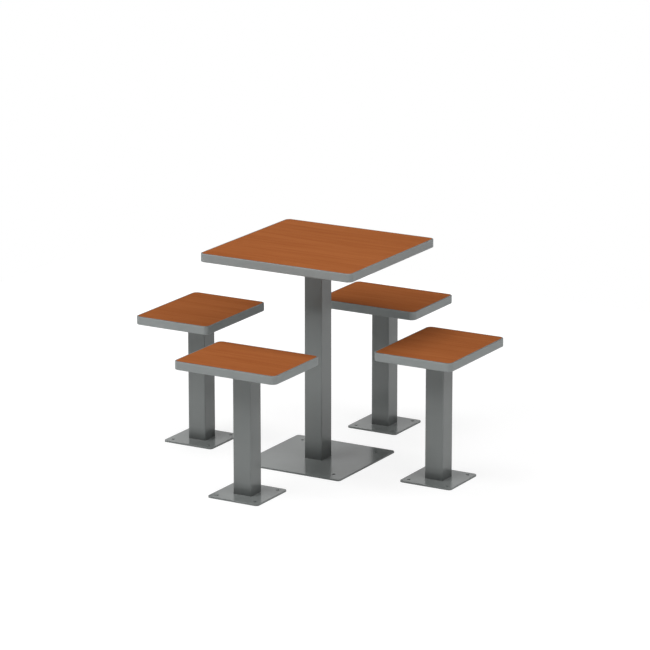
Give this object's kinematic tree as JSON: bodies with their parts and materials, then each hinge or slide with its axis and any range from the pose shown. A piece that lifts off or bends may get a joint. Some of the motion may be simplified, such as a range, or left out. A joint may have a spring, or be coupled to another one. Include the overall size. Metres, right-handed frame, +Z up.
{
  "type": "table with swivel stools",
  "caption": "Square pedestal table with an oblong swivel seat on its own floor-fixed post at each side; wood-look tops with grey edging, square steel posts and plates.",
  "frame": {"origin": "on the floor under the centre of the table", "axes": "+Z up, +X from the table towards the right-hand stool, +Y from the table towards the back stool, so that the front stool stands towards -Y"},
  "size_m": [1.26, 1.26, 0.77],
  "materials": {
    "painted_steel": "gloss grey paint",
    "cast_metal": "as cast, machined on its upper face",
    "zinc_fasteners": "zinc plated",
    "bush_nylon": "natural nylon",
    "turned_steel": "turned and ground",
    "core_board": "particle board",
    "wood_laminate": "matt laminate with a cherry grain",
    "backing_sheet": "plain backing laminate",
    "edge_moulding": "satin grey edge moulding"
  },
  "bodies": {
    "pedestals": {"table_floor_plate": "painted_steel", "table_post": "painted_steel", "table_head_plate": "painted_steel", "table_screws": "zinc_fasteners", "table_backer": "backing_sheet", "table_core": "core_board", "table_laminate": "wood_laminate", "table_edge": "edge_moulding", "front_floor_plate": "painted_steel", "front_post": "painted_steel", "front_swivel_housing": "cast_metal", "front_housing_screws": "zinc_fasteners", "front_bushes": "bush_nylon", "right_floor_plate": "painted_steel", "right_post": "painted_steel", "right_swivel_housing": "cast_metal", "right_housing_screws": "zinc_fasteners", "right_bushes": "bush_nylon", "back_floor_plate": "painted_steel", "back_post": "painted_steel", "back_swivel_housing": "cast_metal", "back_housing_screws": "zinc_fasteners", "back_bushes": "bush_nylon", "left_floor_plate": "painted_steel", "left_post": "painted_steel", "left_swivel_housing": "cast_metal", "left_housing_screws": "zinc_fasteners", "left_bushes": "bush_nylon"},
    "front_seat": {"front_spindle": "turned_steel", "front_retaining_ring": "turned_steel", "front_seat_plate": "painted_steel", "front_seat_screws": "zinc_fasteners", "front_seat_backer": "backing_sheet", "front_seat_core": "core_board", "front_seat_laminate": "wood_laminate", "front_seat_edge": "edge_moulding"},
    "right_seat": {"right_spindle": "turned_steel", "right_retaining_ring": "turned_steel", "right_seat_plate": "painted_steel", "right_seat_screws": "zinc_fasteners", "right_seat_backer": "backing_sheet", "right_seat_core": "core_board", "right_seat_laminate": "wood_laminate", "right_seat_edge": "edge_moulding"},
    "back_seat": {"back_spindle": "turned_steel", "back_retaining_ring": "turned_steel", "back_seat_plate": "painted_steel", "back_seat_screws": "zinc_fasteners", "back_seat_backer": "backing_sheet", "back_seat_core": "core_board", "back_seat_laminate": "wood_laminate", "back_seat_edge": "edge_moulding"},
    "left_seat": {"left_spindle": "turned_steel", "left_retaining_ring": "turned_steel", "left_seat_plate": "painted_steel", "left_seat_screws": "zinc_fasteners", "left_seat_backer": "backing_sheet", "left_seat_core": "core_board", "left_seat_laminate": "wood_laminate", "left_seat_edge": "edge_moulding"}
  },
  "joints": [
    {"name": "front_swivel", "type": "hinge", "parent": "pedestals", "child": "front_seat", "pos_m": [0, -0.48, 0.45], "axis": [0, 0, 1], "continuous": true},
    {"name": "right_swivel", "type": "hinge", "parent": "pedestals", "child": "right_seat", "pos_m": [0.48, 0, 0.45], "axis": [0, 0, 1], "continuous": true},
    {"name": "back_swivel", "type": "hinge", "parent": "pedestals", "child": "back_seat", "pos_m": [0, 0.48, 0.45], "axis": [0, 0, 1], "continuous": true},
    {"name": "left_swivel", "type": "hinge", "parent": "pedestals", "child": "left_seat", "pos_m": [-0.48, 0, 0.45], "axis": [0, 0, 1], "continuous": true}
  ]
}
